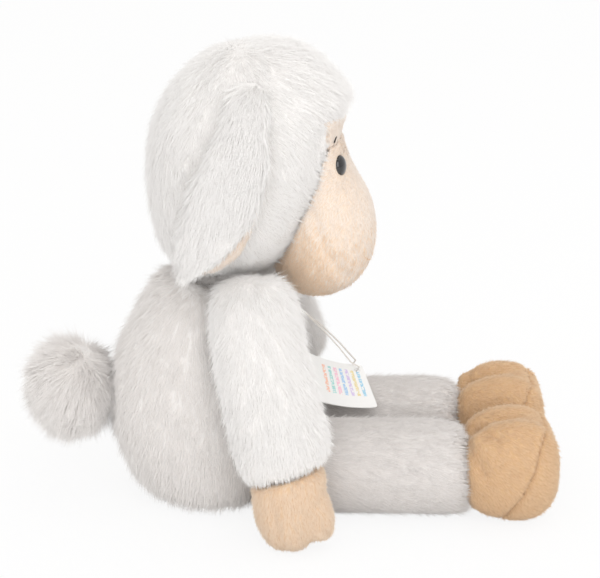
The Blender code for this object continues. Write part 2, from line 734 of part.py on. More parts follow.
# Ears: an outer layer of wool over a lining, both laid against the head
no_shift, full_width = [0] * len(EAR_SHARES), [1] * len(EAR_SHARES)
for side_name, side in (("left", 1), ("right", -1)):
    pivot = (0, side * EAR_PIVOT_SIDE, EAR_PIVOT_HEIGHT)
    rest_room = swelled_copy(head_room, FABRIC_GAP, "ear_rest_room_" + side_name)
    lifted_room = swelled_copy(
        head_room, FABRIC_GAP, "ear_lifted_room_" + side_name, pivot, "X", -side * EAR_LIFT_DEG
    )
    half_room = swelled_copy(
        head_room, FABRIC_GAP, "ear_half_room_" + side_name, pivot, "X", -side * EAR_LIFT_DEG / 2
    )
    lining = swollen_form(
        "ear_lining_" + side_name,
        ear_rings(
            side, EAR_LINING_THICKNESS, EAR_LINING_INSET_SHARE * EAR_THICKNESS, EAR_LINING_FORWARD_SHARES,
            EAR_LINING_WIDE_SHARES,
        ),
        LIMB_SIDES, PLUSH,
    )
    ear = swollen_form(
        "ear_" + side_name, ear_rings(side, EAR_THICKNESS, 0, no_shift, full_width), LIMB_SIDES, WOOL
    )
    lining_room = swelled_copy(lining, FABRIC_GAP, "ear_lining_room_" + side_name)
    boolean(ear, lining_room)
    for piece in (ear, lining):
        for room in (rest_room, half_room, lifted_room):
            boolean(piece, room)
    lift_empty = joint_empty("ear_lift_axis_" + side_name, pivot)
    hang([ear, lining], lift_empty)
    head_pieces.append(lift_empty)
hang(head_pieces, nod_empty)

# Arms: a sleeve and a cloven hand, swung about the shoulder clear of the body
for side_name, side in (("left", 1), ("right", -1)):
    shoulder = (SHOULDER_FORWARD, side * SHOULDER_SIDE, SHOULDER_HEIGHT)
    sleeve = swollen_form("arm_" + side_name, arm_rings(side), LIMB_SIDES, WOOL)
    sleeve_room = swelled_copy(sleeve, FABRIC_GAP, "sleeve_room_" + side_name)
    hand = swollen_form("hand_" + side_name, hand_rings(side, HAND_SHARES, -FLOOR_CUT), LIMB_SIDES, PLUSH)
    toe = swollen_form(
        "front_toe_" + side_name, hand_rings(side, HAND_TOE_SHARES, TOE_LIFT), LIMB_SIDES, None, CUTTERS
    )
    boolean(hand, toe, "UNION")
    boolean(hand, sleeve_room)
    inner = arm_sweep("arm_inner_" + side_name, side, 0, False)
    outer = arm_sweep("arm_outer_" + side_name, side, -2 * FABRIC_GAP, True)
    for piece in (sleeve, hand):
        boolean(piece, inner)
    boolean(hand, floor_cutter)
    boolean(body, outer)
    swing_empty = joint_empty("arm_swing_axis_" + side_name, shoulder)
    hang([sleeve, hand], swing_empty)

# Legs: a white leg, a cloven boot and its sole, swung down about the hip
for side_name, side in (("left", 1), ("right", -1)):
    hip = (HIP_FORWARD, side * HIP_SIDE, LEG_RADIUS - FLOOR_CUT)
    leg = swollen_form("leg_" + side_name, leg_rings(side), LIMB_SIDES, WOOL)
    leg_room = swelled_copy(leg, FABRIC_GAP, "leg_room_" + side_name)
    apart = (FOOT_WIDTH - TOE_WIDTH) / 2
    outer_toe = foot_rings(side, TOE_SHARES, apart, TOE_WIDTH)
    inner_toe = foot_rings(side, INNER_TOE_SHARES, -apart, TOE_WIDTH)
    core = foot_rings(side, BOOT_SHARES, 0, FOOT_WIDTH)
    foot = swollen_form("foot_" + side_name, outer_toe, LIMB_SIDES, PLUSH)
    boolean(foot, swollen_form("inner_toe_" + side_name, inner_toe, LIMB_SIDES, None, CUTTERS), "UNION")
    boolean(foot, swollen_form("boot_core_" + side_name, core, LIMB_SIDES, None, CUTTERS), "UNION")
    boolean(foot, leg_room)
    boolean(foot, floor_cutter)
    boolean(leg, floor_cutter)
    toe_end = HIP_FORWARD + LEG_LENGTH + FOOT_LENGTH
    sole_side = side * (HIP_SIDE + LEG_SPLAY + SOLE_OUTWARD)
    sole_centre = (toe_end - SOLE_THICKNESS - SOLE_RADIUS, sole_side, SOLE_CENTRE_HEIGHT)
    sole = add_object("sole_" + side_name, evaluated_mesh(foot), None, SHEEP)
    sole.data.materials.clear()
    sole.data.materials.append(PLUSH)
    foot_side = ball("foot_side_of_seam_" + side_name, sole_centre, SOLE_RADIUS)
    sole_room = ball("sole_side_of_seam_" + side_name, sole_centre, SOLE_RADIUS + FABRIC_GAP)
    boolean(foot, foot_side, "INTERSECT")
    boolean(sole, sole_room)
    boolean(body, hip_sweep("hip_sweep_" + side_name, side, SWING_GAP))
    hip_empty = joint_empty("leg_swing_axis_" + side_name, hip)
    hang([leg, foot, sole], hip_empty)

# Tail: a pompom cut by the back at both ends of its wag, on a round root in the back
tail_rings = []
for along, wide in TAIL_SHARES:
    centre = (-TAIL_BACK + (along - 1 / 2) * TAIL_LENGTH, 0, TAIL_HEIGHT)
    half = wide * TAIL_DIAMETER / 2
    tail_rings.append((centre, (0, half, 0), (0, 0, half)))
tail = swollen_form("tail", tail_rings, LIMB_SIDES, WOOL)
tail_pivot = (-TAIL_PIVOT_BACK, 0, TAIL_HEIGHT)
# The fast solver joins the ball to the cut pompom, where the exact one gives nothing
for name, turn in (("left", -1), ("right", 1)):
    room = swelled_copy(body_room, FABRIC_GAP, "tail_body_" + name, tail_pivot, "Z", turn * TAIL_WAG_DEG)
    boolean(tail, room, solver="MANIFOLD")
boolean(tail, ball("tail_root", tail_pivot, TAIL_ROOT_RADIUS), "UNION", "MANIFOLD")
boolean(body, ball("tail_socket", tail_pivot, TAIL_ROOT_RADIUS + 2 * FABRIC_GAP))
hang([tail], joint_empty("tail_wag_axis", tail_pivot))

# Hang tag: a bent card on the lap, with a hole at its far front corner
corner = Vector((CARD_CORNER_FORWARD, CARD_CORNER_SIDE, CARD_CORNER_HEIGHT))
left_run = Vector(CARD_LEFT_SHARES) * CARD_LENGTH
near_run = Vector(CARD_NEAR_SHARES) * CARD_WIDTH
near_left_run = Vector(CARD_NEAR_LEFT_SHARES) * CARD_WIDTH


def bowed(share):
    """A rise and fall from 0 through 1 to 0 as the share goes from 0 to 1."""
    return 1 - (2 * share - 1) ** 2


def card_point(u, v):
    sag = Vector((0, 0, -CARD_SAG_SHARE * CARD_LENGTH * bowed(u)))
    across = near_run.lerp(near_left_run, u)
    return corner + left_run * u + across * v + sag


bm = bmesh.new()
bmesh.ops.create_grid(bm, x_segments=CARD_GRID, y_segments=CARD_GRID, size=1)
for vert in bm.verts:
    vert.co = card_point((vert.co.x + 1) / 2, (vert.co.y + 1) / 2)
mesh = bpy.data.meshes.new("hang_tag")
bm.to_mesh(mesh)
bm.free()
tag = add_object("hang_tag", mesh, CARD, SHEEP)
wall = tag.modifiers.new("card", "SOLIDIFY")
wall.thickness = CARD_THICKNESS
wall.offset = 0
hole_u = CARD_HOLE_INSET / CARD_LENGTH
hole_v = CARD_HOLE_INSET / CARD_WIDTH
hole_place = card_point(hole_u, hole_v)
card_normal = left_run.cross(near_run).normalized()
card_normal *= math.copysign(1, card_normal.z)
hole_cutter = turned_form(
    "tag_hole",
    [(0, OVERRUN), (CARD_HOLE_RADIUS, OVERRUN), (CARD_HOLE_RADIUS, -OVERRUN), (0, -OVERRUN)],
    hole_place,
    card_normal,
)
boolean(tag, hole_cutter)

# Tag loop: a filament from the neck seam through the hole and back round the card's far edge
root = Vector((LOOP_ROOT_FORWARD, 0, LOOP_ROOT_HEIGHT))
edge_way = (corner + left_run * hole_u - hole_place).normalized()
outside_edge = corner + left_run * hole_u + edge_way * (LOOP_THREAD + FABRIC_GAP)
run = hole_place - root
sideways = run.cross(card_normal).normalized() * LOOP_SPREAD / 2
lift = card_normal * (LOOP_THREAD + CARD_THICKNESS)
bow = Vector((0, 0, LOOP_BOW))
out_strand = [root + run * share + bow * bowed(share) - sideways for share in LOOP_SHARES]
back_end = outside_edge + lift
back_strand = [root + (back_end - root) * share + bow * bowed(share) + sideways for share in LOOP_SHARES]
under = [hole_place - lift, outside_edge - lift]
loop_points = out_strand + [hole_place + lift * 2] + under + [back_end] + back_strand[::-1]
loop = thread("tag_loop", loop_points, LOOP_THREAD, CLEAR_PLASTIC, closed=True)
hang([tag, loop], joint_empty("tag_swing_axis", root))
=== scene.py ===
import math

import bmesh
import bpy
import numpy as np
from mathutils import Matrix, Vector
from mathutils.bvhtree import BVHTree
from mathutils.kdtree import KDTree


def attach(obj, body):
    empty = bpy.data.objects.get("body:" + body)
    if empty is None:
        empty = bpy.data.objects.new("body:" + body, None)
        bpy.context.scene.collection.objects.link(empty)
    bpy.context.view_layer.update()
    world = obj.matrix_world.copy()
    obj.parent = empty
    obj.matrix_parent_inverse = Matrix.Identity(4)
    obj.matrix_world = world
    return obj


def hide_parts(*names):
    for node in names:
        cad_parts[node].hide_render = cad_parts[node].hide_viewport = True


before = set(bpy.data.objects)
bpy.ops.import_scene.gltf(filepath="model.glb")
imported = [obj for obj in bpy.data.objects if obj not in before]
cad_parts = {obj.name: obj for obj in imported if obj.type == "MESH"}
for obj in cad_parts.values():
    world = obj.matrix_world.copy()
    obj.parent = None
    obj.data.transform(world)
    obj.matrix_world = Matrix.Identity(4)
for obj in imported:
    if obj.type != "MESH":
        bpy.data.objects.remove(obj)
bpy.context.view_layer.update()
scene = bpy.context.scene
scene.view_settings.view_transform = "Standard"

# Camera. The sheep is seen square from its right side, from a little above.
# A long lens at 1.2 m gives the photograph's nearly flat perspective.
camera_rise = math.radians(19)
camera_distance = 1.2
camera_target = Vector((0.0457, 0, 0.131))
camera_data = bpy.data.cameras.new("camera")
camera_data.lens = 118.1
camera_data.sensor_width = 36
camera_data.clip_start = 0.05
camera = bpy.data.objects.new("camera", camera_data)
camera.location = camera_target + camera_distance * Vector((0, -math.cos(camera_rise), math.sin(camera_rise)))
camera.rotation_euler = (math.pi / 2 - camera_rise, 0, 0)
scene.collection.objects.link(camera)
scene.camera = camera

# Torso. A sack of long-pile white plush, cut in a left and a right panel and stuffed with fibre.
# The knitted backing is drawn over the filling, and the pile stands on it, longest on the back.


def backing(name, node, draw_in, cell, soften):
    """The backing cloth of a stuffed piece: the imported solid's surface, rounded over its seams and
    drawn in by the depth of the pile."""
    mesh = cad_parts[node].data.copy()
    bm = bmesh.new()
    bm.from_mesh(mesh)
    bmesh.ops.remove_doubles(bm, verts=bm.verts[:], dist=1e-6)
    bm.to_mesh(mesh)
    bm.free()
    mesh.materials.clear()
    piece = bpy.data.objects.new(name, mesh)
    scene.collection.objects.link(piece)
    for step in ("first", "last"):
        knit = piece.modifiers.new(step + "_knit", "REMESH")
        knit.mode = "VOXEL"
        knit.voxel_size = cell
        ease = piece.modifiers.new(step + "_ease", "SMOOTH")
        ease.factor = 0.5
        ease.iterations = soften
        if step == "first":
            pull = piece.modifiers.new("pull", "DISPLACE")
            pull.strength = -draw_in
            pull.mid_level = 0
    finished = bpy.data.meshes.new_from_object(piece.evaluated_get(bpy.context.evaluated_depsgraph_get()))
    piece.modifiers.clear()
    piece.data = finished
    finished.name = name
    finished.shade_smooth()
    return piece


def dress(piece, material, body, slot, *nodes):
    piece.data.materials.clear()
    piece.data.materials.append(material)
    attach(piece, body)
    if nodes:
        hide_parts(*nodes)


def node_tree(name):
    material = bpy.data.materials.new(name)
    material.use_nodes = True
    return material, material.node_tree.nodes, material.node_tree.links


def pile_material(name, root, tip, shades, sheen, rough):
    """Pile fibre. The strand's own map gives its tone across and its root and tip along. The root is darker than the
    tip, as painted shade of the depths of the pile.
    """
    material, nodes, links = node_tree(name)
    shader = nodes["Principled BSDF"]
    strand_map = nodes.new("ShaderNodeUVMap")
    strand_map.uv_map = "OFBake"
    split = nodes.new("ShaderNodeSeparateXYZ")
    # Root to tip: darker at the root, as painted shade of the depths of the pile.
    along = nodes.new("ShaderNodeValToRGB")
    along.color_ramp.elements[0].color = (*root, 1)
    along.color_ramp.elements[0].position = 0.0
    along.color_ramp.elements[1].color = (*tip, 1)
    along.color_ramp.elements[1].position = 0.75
    across = nodes.new("ShaderNodeValToRGB")
    across.color_ramp.interpolation = "B_SPLINE"
    across.color_ramp.elements[0].color = (*shades[0], 1)
    across.color_ramp.elements[1].color = (*shades[1], 1)
    mix = nodes.new("ShaderNodeMix")
    mix.data_type = "RGBA"
    mix.blend_type = "MULTIPLY"
    mix.inputs["Factor"].default_value = 1
    links.new(strand_map.outputs["UV"], split.inputs[0])
    links.new(split.outputs["Y"], along.inputs["Fac"])
    links.new(split.outputs["X"], across.inputs["Fac"])
    links.new(along.outputs["Color"], mix.inputs["A"])
    links.new(across.outputs["Color"], mix.inputs["B"])
    links.new(mix.outputs["Result"], shader.inputs["Base Color"])
    shader.inputs["Roughness"].default_value = rough
    shader.inputs["Specular IOR Level"].default_value = 0.25
    shader.inputs["Sheen Weight"].default_value = sheen
    shader.inputs["Sheen Roughness"].default_value = 0.5
    return material


def backing_material(name, colour, deep, grain, bump):
    """Knitted backing with the stubs of the pile: a fine grain over slow, uneven patches of tone. Its colours are
    set darker than its pile, as painted shade of the depths of the pile.
    """
    material, nodes, links = node_tree(name)
    shader = nodes["Principled BSDF"]
    place = nodes.new("ShaderNodeTexCoord")
    patches = nodes.new("ShaderNodeTexNoise")
    patches.inputs["Scale"].default_value = 90
    patches.inputs["Detail"].default_value = 3
    stubs = nodes.new("ShaderNodeTexNoise")
    stubs.inputs["Scale"].default_value = grain
    stubs.inputs["Detail"].default_value = 4
    stubs.inputs["Roughness"].default_value = 0.7
    mix = nodes.new("ShaderNodeMix")
    mix.data_type = "RGBA"
    mix.inputs["A"].default_value = (*colour, 1)
    mix.inputs["B"].default_value = (*deep, 1)
    both = nodes.new("ShaderNodeMath")
    both.operation = "MULTIPLY"
    relief = nodes.new("ShaderNodeBump")
    relief.inputs["Strength"].default_value = bump
    relief.inputs["Distance"].default_value = 0.0006
    links.new(place.outputs["Object"], patches.inputs["Vector"])
    links.new(place.outputs["Object"], stubs.inputs["Vector"])
    links.new(patches.outputs["Fac"], both.inputs[0])
    links.new(stubs.outputs["Fac"], both.inputs[1])
    links.new(both.outputs["Value"], mix.inputs["Factor"])
    links.new(mix.outputs["Result"], shader.inputs["Base Color"])
    links.new(stubs.outputs["Fac"], relief.inputs["Height"])
    links.new(relief.outputs["Normal"], shader.inputs["Normal"])
    shader.inputs["Roughness"].default_value = 0.9
    shader.inputs["Specular IOR Level"].default_value = 0.2
    shader.inputs["Sheen Weight"].default_value = 0.3
    return material


def fibre():
    """One pile fibre: a three-sided spike one unit long, with a flat side up."""
    bm = bmesh.new()
    bmesh.ops.create_cone(bm, cap_ends=True, segments=3, radius1=1, radius2=0, depth=1)
    bmesh.ops.remove_doubles(bm, verts=bm.verts[:], dist=1e-6)
    bmesh.ops.translate(bm, verts=bm.verts[:], vec=(0, 0, 0.5))
    lowest = min(bm.verts, key=lambda vert: (round(vert.co.z, 3), -vert.co.xy.length))
    turn = Matrix.Rotation(-math.pi / 2 - math.atan2(lowest.co.y, lowest.co.x), 4, "Z")
    bmesh.ops.transform(bm, matrix=turn, verts=bm.verts[:])
    bm.verts.index_update()
    spots = np.array([vert.co[:] for vert in bm.verts])
    faces = np.array([[vert.index for vert in face.verts] for face in bm.faces])
    bm.free()
    return spots, faces


def surfaces(names):
    """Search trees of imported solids, each with the two corners of its box."""
    found = []
    for name in names:
        bm = bmesh.new()
        bm.from_mesh(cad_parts[name].data)
        spots = np.array([vert.co[:] for vert in bm.verts])
        found.append((BVHTree.FromBMesh(bm), spots.min(axis=0), spots.max(axis=0)))
        bm.free()
    return found


def close_to(solids, spots, reach):
    """Each search tree with the numbers of the spots that are near enough to its solid to test."""
    for tree, low, high in solids:
        yield tree, np.flatnonzero(np.all((spots > low - reach) & (spots < high + reach), axis=1))


def unit(rows):
    return rows / np.maximum(np.linalg.norm(rows, axis=1, keepdims=True), 1e-9)


# Pile. What all kinds of it have in common: how much fibres differ in length and girth, how near they come
# to other pieces, how they wave, rise and gather, and how their upper sides are shaded.
length_spread = (0.75, 1.2)
girth_spread = (0.75, 1.25)
close_share, open_share = 0.5, 0.6
covered_share = 0.2
least_share = 0.4
root_share = 0.06
lock_share = 0.6
wave_pitch = 260
sway_size, scatter_size = 0.1, 0.14
lowest_lift, lift_range, lift_bias = 0.35, 1.3, 3
above_table = (0.0003, 0.0016)
flatness = 0.7
upper_side, upper_lean = 0.3, 2.4


def pile(name, cover, count, length, girth, nap, stand, gather, room, under, seed, where=None, trim=None):
    """Pile on a backing. nap gives the lie of the fibre at each root, stand how steeply it leaves the
    cloth, gather how far the tips close into locks, room the solids it keeps off, and under those that
    cover a seam, where the cloth grows none. where masks the cloth, and trim gives the share of the
    length that is left."""
    rng = np.random.default_rng(seed)
    cloth = cover.data
    cloth.calc_loop_triangles()
    corners = np.empty(len(cloth.loop_triangles) * 3, dtype=np.int64)
    cloth.loop_triangles.foreach_get("vertices", corners)
    spots = np.empty(len(cloth.vertices) * 3)
    cloth.vertices.foreach_get("co", spots)
    facing = np.empty(len(cloth.vertices) * 3)
    cloth.vertices.foreach_get("normal", facing)
    spots, facing = spots.reshape(-1, 3)[corners], facing.reshape(-1, 3)[corners]
    a, b, c = spots[0::3], spots[1::3], spots[2::3]
    area = np.linalg.norm(np.cross(b - a, c - a), axis=1) / 2
    if where is not None:
        area = area * where((a + b + c) / 3)
    picked = rng.choice(len(area), count, p=area / area.sum())
    u, v = rng.random((2, count, 1))
    u = np.sqrt(u)
    share = (1 - u, u * (1 - v), u * v)
    root = sum(w * spots[k::3][picked] for k, w in enumerate(share))
    normal = unit(sum(w * facing[k::3][picked] for k, w in enumerate(share)))

    # Room: a fibre is no longer than the space in front of the cloth
    long = length * rng.uniform(*length_spread, (count, 1))
    gap = np.full(count, np.inf)
    for tree, near in close_to(room, root, length):
        for index in near:
            found = tree.find_nearest(Vector(root[index]), length)
            if found[0] is not None:
                gap[index] = min(gap[index], found[3])
    long = np.minimum(long, open_share * gap[:, None] + length * close_share)
    if trim is not None:
        long *= trim(root)[:, None]
    keep = np.ones(count, dtype=bool)
    for tree, near in close_to(under, root, length):
        for index in near:
            hit = tree.ray_cast(Vector(root[index]), Vector(normal[index]), covered_share * length)
            keep[index] &= hit[0] is None
    root, normal, long = root[keep], normal[keep], long[keep]
    count = len(root)

    # Lie: the nap along the cloth, swayed in slow waves, and each fibre a little off its neighbours
    waves = rng.normal(size=(3, 6)) * wave_pitch
    phase = rng.uniform(0, math.tau, 6)
    sway = np.sin(root @ waves + phase)
    flow = unit(nap(root, normal))
    flow = flow + sway_size * sway[:, :3] + sway_size * sway[:, 3:] + rng.normal(scale=scatter_size, size=(count, 3))
    flow = flow - normal * np.sum(flow * normal, axis=1, keepdims=True)
    long = long * np.clip(2 * np.linalg.norm(flow, axis=1, keepdims=True), least_share, 1)
    flow = unit(flow)
    start = root - normal * root_share * length
    lift = stand * (lowest_lift + lift_range * rng.random((count, 1)) ** lift_bias)
    end = root + unit(normal * lift + flow * (1 - lift)) * long

    # Locks: tips close towards the tip of the nearest of some chosen fibres, which stand closer in short pile
    locks = int(area.sum() / (lock_share * length) ** 2)
    chosen = rng.choice(count, min(locks, count), replace=False)
    tree = KDTree(len(chosen))
    for index, pick in enumerate(chosen):
        tree.insert(Vector(root[pick]), index)
    tree.balance()
    lock = chosen[[tree.find(Vector(spot))[1] for spot in root]]
    end = end + (end[lock] - end) * gather * rng.uniform(0.3, 1.0, (count, 1))
    floor = rng.uniform(*above_table, count)
    for spot in (start, end):
        spot[:, 2] = np.maximum(spot[:, 2], floor)

    # Copies of the fibre, laid along each path. Their upper sides are shaded nearly as the cloth is, and
    # their undersides as they lie, so that the pile stays bright when it is seen from its tips
    template, faces = spike
    side = unit(np.cross(end - start, normal + 1e-4))
    up = unit(np.cross(end - start, side))
    t = template[:, 2][None, :, None]
    path = (1 - t) * start[:, None] + t * end[:, None]
    thick = girth * rng.uniform(*girth_spread, (count, 1, 1))
    points = path + thick * (
        template[:, 0][None, :, None] * side[:, None] + flatness * template[:, 1][None, :, None] * up[:, None]
    )
    size = len(template)
    loop_verts = faces.ravel()
    starts = np.arange(len(faces)) * 3
    every = np.arange(count)[:, None]
    made = bpy.data.meshes.new(name)
    made.vertices.add(count * size)
    made.vertices.foreach_set("co", points.ravel())
    made.loops.add(count * len(loop_verts))
    made.loops.foreach_set("vertex_index", (loop_verts[None] + every * size).ravel())
    made.polygons.add(count * len(faces))
    made.polygons.foreach_set("loop_start", (starts[None] + every * len(loop_verts)).ravel())
    strand_map = made.uv_layers.new(name="OFBake")
    tone = rng.uniform(0.03, 0.97, (count, 1))
    across = tone + 0.02 * template[loop_verts, 0][None]
    along = np.broadcast_to(0.02 + 0.96 * template[loop_verts, 2][None], across.shape)
    strand_map.data.foreach_set("uv", np.stack([across, along], axis=-1).ravel())
    made.update(calc_edges=True)
    made.shade_smooth()
    own = np.empty(count * len(faces) * 3)
    made.polygons.foreach_get("normal", own)
    own = own.reshape(count, len(faces), 1, 3)
    above = np.sum(own * normal[:, None, None], axis=-1, keepdims=True) > upper_side
    leaning = unit((own + np.where(above, upper_lean, 0.0) * normal[:, None, None]).reshape(-1, 3))
    leaning = np.repeat(leaning, 3, axis=0)
    made.normals_split_custom_set(leaning.tolist())
    piece = bpy.data.objects.new(name, made)
    scene.collection.objects.link(piece)
    return piece


def left_half(spots):
    return spots[:, 1] > 0


def right_half(spots):
    return spots[:, 1] <= 0


def hanging(root, normal):
    return np.broadcast_to([-0.1, 0, -1.0], root.shape)


def crease(piece, path, width, depth):
    """Presses a soft groove into a backing along a path of points, as a dart or a fold does."""
    mesh = piece.data
    spots = np.empty(len(mesh.vertices) * 3)
    mesh.vertices.foreach_get("co", spots)
    spots = spots.reshape(-1, 3)
    facing = np.empty(len(mesh.vertices) * 3)
    mesh.vertices.foreach_get("normal", facing)
    away = np.full(len(spots), np.inf)
    for low, high in zip(np.array(path)[:-1], np.array(path)[1:]):
        run = high - low
        share = np.clip((spots - low) @ run / (run @ run), 0, 1)
        away = np.minimum(away, np.linalg.norm(spots - low - share[:, None] * run, axis=1))
    press = depth * np.exp(-((away / width) ** 2))
    mesh.vertices.foreach_set("co", (spots - facing.reshape(-1, 3) * press[:, None]).ravel())
    mesh.update()


wool = pile_material(
    "wool_pile", (0.915, 0.9, 0.885), (0.97, 0.96, 0.95), ((0.97, 0.965, 0.96), (1, 1, 1)), 0.3, 0.85
)
# A darker, warmer copy of the white wool pile for the torso, neck and tail, as painted shade of the sheep's lower
# and rear sides.
wool_painted_shade = pile_material(
    "wool_pile_painted_shade", (0.85, 0.815, 0.79), (0.935, 0.915, 0.9), ((0.96, 0.95, 0.94), (1, 1, 1)), 0.2, 0.85
)
# The wool backing is darker than the wool pile, as painted shade of the depths of the pile.
wool_backing = backing_material("wool_backing", (0.8, 0.78, 0.765), (0.77, 0.75, 0.73), 1500, 0.15)
spike = fibre()
torso = backing("torso_backing", "body", draw_in=0.002, cell=0.004, soften=4)
dress(torso, wool_backing, "torso", "white_wool", "body")
torso_room = surfaces(["head", "arm_left", "arm_right", "leg_left", "leg_right", "hang_tag"])
for side, half in (("left", left_half), ("right", right_half)):
    piece = pile(
        "torso_pile_" + side, torso, count=29000, length=0.0110, girth=0.00024, nap=hanging, stand=0.28,
        gather=0.3, room=torso_room, under=[], seed=11 + len(side), where=half,
    )
    dress(piece, wool_painted_shade, "torso", "white_wool")

# Neck. The drawn-in waist of the sack, a firm stuffed ball that the hood and the torso close round.
# Only its pile shows, low in the fold between them.
neck = backing("neck_backing", "neck", draw_in=0.003, cell=0.003, soften=2)
dress(neck, wool_backing, "neck", "white_wool", "neck")
neck_pile = pile(
    "neck_pile", neck, count=8000, length=0.008, girth=0.00026, nap=hanging, stand=0.5,
    gather=0.3, room=[], under=[], seed=31,
)
dress(neck_pile, wool_painted_shade, "neck", "white_wool")

# Hood. Back, sides and forehead of the head in the same long plush, in two panels.
# The pile runs away from the crown, so that it falls over the forehead at the front. It is cut short
# under the forelock, and a steeper fringe of it covers the seam with the face.
fringe_reach, fringe_top = 0.006, 0.229
lock_corner = (0.0594, 0.2472)
strip_bottom = 0.2
strip_rise = 0.0014


def from_crown(root, normal):
    front = np.clip((root[:, 0] - 0.005) / 0.03, -1, 1)
    at_front = np.interp(root[:, 2], (0.205, 0.22, 0.25), (1.6, 0.8, 1.6))
    at_back = np.interp(root[:, 2], (0.225, 0.25), (0.1, 0.6))
    forward = np.where(front > 0, front * at_front, front * at_back)
    return np.stack([forward, 0.5 * np.clip(root[:, 1] / 0.02, -1, 1), -np.ones(len(root))], axis=1)


def short_at_brow(root):
    away = np.linalg.norm(root[:, [0, 2]] - np.array([0.068, 0.236]), axis=1)
    return np.clip((away - 0.005) / 0.010, 0.2, 1)


def below_lock(spots):
    forward, below = spots[:, 0] - lock_corner[0], lock_corner[1] - spots[:, 2]
    past_eye = np.clip(np.abs(spots[:, 1]) - 0.022, 0, 1)
    return (forward > 0.13 * below) & (below > 0.45 * forward + 0.25 * past_eye) & (spots[:, 2] > strip_bottom)


def beside_face(spots):
    near_face = np.zeros(len(spots), dtype=bool)
    for tree, near in close_to(hood_edge, spots, fringe_reach):
        for index in near:
            near_face[index] = tree.find_nearest(Vector(spots[index]), fringe_reach)[0] is not None
    return near_face & (spots[:, 2] < fringe_top)


def over_cheek(root, normal):
    return np.broadcast_to([1.0, 0, -0.5], root.shape)


hood = backing("hood_backing", "head", draw_in=0.0008, cell=0.0025, soften=2)
dress(hood, wool_backing, "head", "white_wool", "head")
hood_room = surfaces(["body", "face", "arm_left", "arm_right"])
hood_edge = surfaces(["face"])
for side, half in (("left", left_half), ("right", right_half)):
    piece = pile(
        "hood_pile_" + side, hood, count=30000, length=0.0100, girth=0.00024, nap=from_crown, stand=0.23,
        gather=0.2, room=hood_room, under=hood_edge, seed=41 + len(side),
        where=lambda spots, half=half: half(spots) & ~below_lock(spots), trim=short_at_brow,
    )
    dress(piece, wool, "head", "white_wool")
fringe = pile(
    "hood_fringe", hood, count=12000, length=0.0085, girth=0.00024, nap=over_cheek, stand=0.45,
    gather=0.3, room=[], under=hood_edge, seed=47, where=beside_face,
)
dress(fringe, wool, "head", "white_wool")

# Face. One swollen panel of tan velour from the forehead to the muzzle, sewn into the hood's opening.
# Its short nap is brushed out from between the eyes, and its top runs on under the forelock.
# The pale backing is darker than the pale pile, as painted shade of the depths of the pile.
pale_backing = backing_material("pale_backing", (0.8, 0.66, 0.53), (0.77, 0.63, 0.5), 1800, 0.1)
pale_pile = pile_material(
    "pale_pile", (0.885, 0.785, 0.695), (0.915, 0.83, 0.755), ((0.94, 0.92, 0.9), (1, 1, 1)), 0.3, 0.8
)
# A darker, deeper tan copy of the face velour for the lower and rear face, as painted shade under the chin.
muzzle_fur_painted_shade = pile_material(
    "muzzle_pile", (0.87, 0.65, 0.45), (0.95, 0.78, 0.62), ((0.88, 0.83, 0.78), (1, 1, 1)), 0.3, 0.8
)


def from_brow(root, normal):
    return root - np.array([0.080, 0, 0.222])


def over_brow(root, normal):
    return np.broadcast_to([0.3, 0, -1.0], root.shape)


# Mask of the lower and rear face, which takes the darker muzzle pile as painted shade under the chin.
def low_face(spots):
    low = np.clip((0.185 - spots[:, 2]) / 0.03, 0, 1)
    return low * np.clip((0.078 - spots[:, 0]) / 0.03, 0.15, 1)


face = backing("face_backing", "face", draw_in=-0.0006, cell=0.0022, soften=4)
dart = (
    (0.0527, 0.0339, 0.1908),
    (0.0562, 0.0355, 0.1797),
    (0.0604, 0.0362, 0.1677),
    (0.0669, 0.0332, 0.1568),
    (0.0748, 0.025, 0.1478),
)
for way in (1, -1):
    crease(face, [(x, y * way, z) for x, y, z in dart], width=0.0035, depth=0.0012)
dress(face, pale_backing, "head", "tan_plush", "face")
face_room = surfaces(["eye_left", "eye_right", "brow_left", "brow_right"])
face_edge = surfaces(["head", "brow_left", "brow_right"])
face_pile = pile(
    "face_pile", face, count=35000, length=0.0026, girth=0.00026, nap=from_brow, stand=0.18,
    gather=0, room=face_room, under=face_edge, seed=51, where=lambda spots: 1 - low_face(spots),
)
muzzle_pile = pile(
    "muzzle_pile", face, count=18000, length=0.0034, girth=0.00024, nap=from_brow, stand=0.3,
    gather=0.45, room=face_room, under=face_edge, seed=52, where=low_face,
)
dress(muzzle_pile, muzzle_fur_painted_shade, "head", "tan_plush")
dress(face_pile, pale_pile, "head", "tan_plush")
hood.data.materials.append(pale_backing)
for patch in hood.data.polygons:
    patch.material_index = int(below_lock(np.array([patch.center]))[0])
for vert in hood.data.vertices:
    if below_lock(np.array([vert.co]))[0]:
        vert.co += strip_rise * vert.normal
brow_pile = pile(
    "brow_pile", hood, count=6000, length=0.0030, girth=0.00026, nap=over_brow, stand=0.14,
    gather=0, room=face_room, under=face_edge[1:], seed=53, where=below_lock,
)
dress(brow_pile, pale_pile, "head", "tan_plush")

